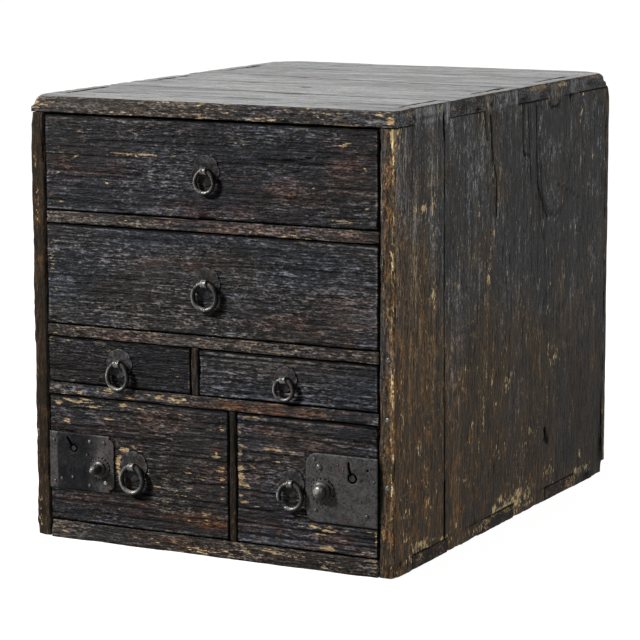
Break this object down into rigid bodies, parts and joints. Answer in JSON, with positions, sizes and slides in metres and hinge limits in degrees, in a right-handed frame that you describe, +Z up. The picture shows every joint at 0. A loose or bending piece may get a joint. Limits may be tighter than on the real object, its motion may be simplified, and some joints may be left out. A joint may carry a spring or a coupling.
{
  "type": "small tansu chest",
  "caption": "Small old wooden tansu chest with stacked drawers, iron ring pulls on scalloped plates, and lock plates with turning knobs.",
  "frame": {"origin": "middle of the carcass's footprint, on the surface that it stands on", "axes": "+X to the right seen from the drawer fronts, +Y from the fronts to the back, +Z up"},
  "size_m": [0.364, 0.5029, 0.404],
  "materials": {
    "carcass_wood": "worn dark lacquered softwood, matt",
    "drawer_wood": "worn near-black stained wood, matt, open grain",
    "plain_wood": "bare aged softwood",
    "peg_wood": "bare wooden nail ends",
    "old_iron": "hammered dark iron",
    "lock_iron": "dark iron plate, worn satin"
  },
  "bodies": {
    "carcass": {"left_side": "carcass_wood", "right_side": "carcass_wood", "top_board": "carcass_wood", "bottom_board": "carcass_wood", "upper_shelf": "carcass_wood", "middle_shelf": "carcass_wood", "lower_shelf": "carcass_wood", "upper_divider": "carcass_wood", "lower_divider": "carcass_wood", "back_panel": "plain_wood", "carcass_pegs": "peg_wood", "carcass_nails": "old_iron"},
    "top_drawer": {"top_drawer_front": "drawer_wood", "top_drawer_sides": "plain_wood", "top_drawer_back": "plain_wood", "top_drawer_bottom": "plain_wood", "top_drawer_pull_fixing": "old_iron"},
    "top_drawer_pull": {"top_drawer_ring": "old_iron"},
    "second_drawer": {"second_drawer_front": "drawer_wood", "second_drawer_sides": "plain_wood", "second_drawer_back": "plain_wood", "second_drawer_bottom": "plain_wood", "second_drawer_pull_fixing": "old_iron"},
    "second_drawer_pull": {"second_drawer_ring": "old_iron"},
    "left_small_drawer": {"left_small_drawer_front": "drawer_wood", "left_small_drawer_sides": "plain_wood", "left_small_drawer_back": "plain_wood", "left_small_drawer_bottom": "plain_wood", "left_small_drawer_pull_fixing": "old_iron"},
    "left_small_drawer_pull": {"left_small_drawer_ring": "old_iron"},
    "right_small_drawer": {"right_small_drawer_front": "drawer_wood", "right_small_drawer_sides": "plain_wood", "right_small_drawer_back": "plain_wood", "right_small_drawer_bottom": "plain_wood", "right_small_drawer_pull_fixing": "old_iron"},
    "right_small_drawer_pull": {"right_small_drawer_ring": "old_iron"},
    "left_lock_drawer": {"left_lock_drawer_front": "drawer_wood", "left_lock_drawer_sides": "plain_wood", "left_lock_drawer_back": "plain_wood", "left_lock_drawer_bottom": "plain_wood", "left_lock_drawer_pull_fixing": "old_iron", "left_lock_plate": "lock_iron", "left_lock_nails": "old_iron", "left_lock_rosette": "lock_iron", "left_lock_case": "old_iron"},
    "left_lock_drawer_pull": {"left_lock_drawer_ring": "old_iron"},
    "right_lock_drawer": {"right_lock_drawer_front": "drawer_wood", "right_lock_drawer_sides": "plain_wood", "right_lock_drawer_back": "plain_wood", "right_lock_drawer_bottom": "plain_wood", "right_lock_drawer_pull_fixing": "old_iron", "right_lock_plate": "lock_iron", "right_lock_nails": "old_iron", "right_lock_rosette": "lock_iron", "right_lock_case": "old_iron"},
    "right_lock_drawer_pull": {"right_lock_drawer_ring": "old_iron"},
    "left_knob": {"left_lock_knob": "lock_iron"},
    "left_bolt": {"left_lock_bolt": "old_iron"},
    "right_knob": {"right_lock_knob": "lock_iron"},
    "right_bolt": {"right_lock_bolt": "old_iron"}
  },
  "joints": [
    {"name": "top_drawer_slide", "type": "slide", "parent": "carcass", "child": "top_drawer", "axis": [0, -1, 0], "range_m": [0, 0.36]},
    {"name": "top_drawer_ring_hinge", "type": "hinge", "parent": "top_drawer", "child": "top_drawer_pull", "pos_m": [-0.0008, -0.2465, 0.345], "axis": [-1, 0, 0], "range_deg": [0, 170]},
    {"name": "second_drawer_slide", "type": "slide", "parent": "carcass", "child": "second_drawer", "axis": [0, -1, 0], "range_m": [0, 0.36]},
    {"name": "second_drawer_ring_hinge", "type": "hinge", "parent": "second_drawer", "child": "second_drawer_pull", "pos_m": [-0.001, -0.2469, 0.246], "axis": [-1, 0, 0], "range_deg": [0, 170]},
    {"name": "left_small_drawer_slide", "type": "slide", "parent": "carcass", "child": "left_small_drawer", "axis": [0, -1, 0], "range_m": [0, 0.36]},
    {"name": "left_small_drawer_ring_hinge", "type": "hinge", "parent": "left_small_drawer", "child": "left_small_drawer_pull", "pos_m": [-0.0915, -0.2467, 0.1675], "axis": [-1, 0, 0], "range_deg": [0, 170]},
    {"name": "right_small_drawer_slide", "type": "slide", "parent": "carcass", "child": "right_small_drawer", "axis": [0, -1, 0], "range_m": [0, 0.36]},
    {"name": "right_small_drawer_ring_hinge", "type": "hinge", "parent": "right_small_drawer", "child": "right_small_drawer_pull", "pos_m": [0.0768, -0.2465, 0.1675], "axis": [-1, 0, 0], "range_deg": [0, 170]},
    {"name": "left_lock_drawer_slide", "type": "slide", "parent": "carcass", "child": "left_lock_drawer", "axis": [0, -1, 0], "range_m": [0, 0.36]},
    {"name": "left_lock_drawer_ring_hinge", "type": "hinge", "parent": "left_lock_drawer", "child": "left_lock_drawer_pull", "pos_m": [-0.0775, -0.2469, 0.075], "axis": [-1, 0, 0], "range_deg": [0, 170]},
    {"name": "right_lock_drawer_slide", "type": "slide", "parent": "carcass", "child": "right_lock_drawer", "axis": [0, -1, 0], "range_m": [0, 0.36]},
    {"name": "right_lock_drawer_ring_hinge", "type": "hinge", "parent": "right_lock_drawer", "child": "right_lock_drawer_pull", "pos_m": [0.083, -0.2467, 0.076], "axis": [-1, 0, 0], "range_deg": [0, 170]},
    {"name": "left_knob_turn", "type": "hinge", "parent": "left_lock_drawer", "child": "left_knob", "pos_m": [-0.1125, -0.246, 0.07], "axis": [0, -1, 0], "range_deg": [0, 60]},
    {"name": "left_bolt_slide", "type": "slide", "parent": "left_lock_drawer", "child": "left_bolt", "axis": [-1, 0, 0], "range_m": [0, 0.006]},
    {"name": "right_knob_turn", "type": "hinge", "parent": "right_lock_drawer", "child": "right_knob", "pos_m": [0.1133, -0.246, 0.0724], "axis": [0, 1, 0], "range_deg": [0, 60]},
    {"name": "right_bolt_slide", "type": "slide", "parent": "right_lock_drawer", "child": "right_bolt", "axis": [1, 0, 0], "range_m": [0, 0.0055]}
  ],
  "couplings": [
    {"joint": "left_knob_turn", "follows": "left_bolt_slide", "rad_per_m": 174.53},
    {"joint": "right_knob_turn", "follows": "right_bolt_slide", "rad_per_m": 190.39}
  ]
}
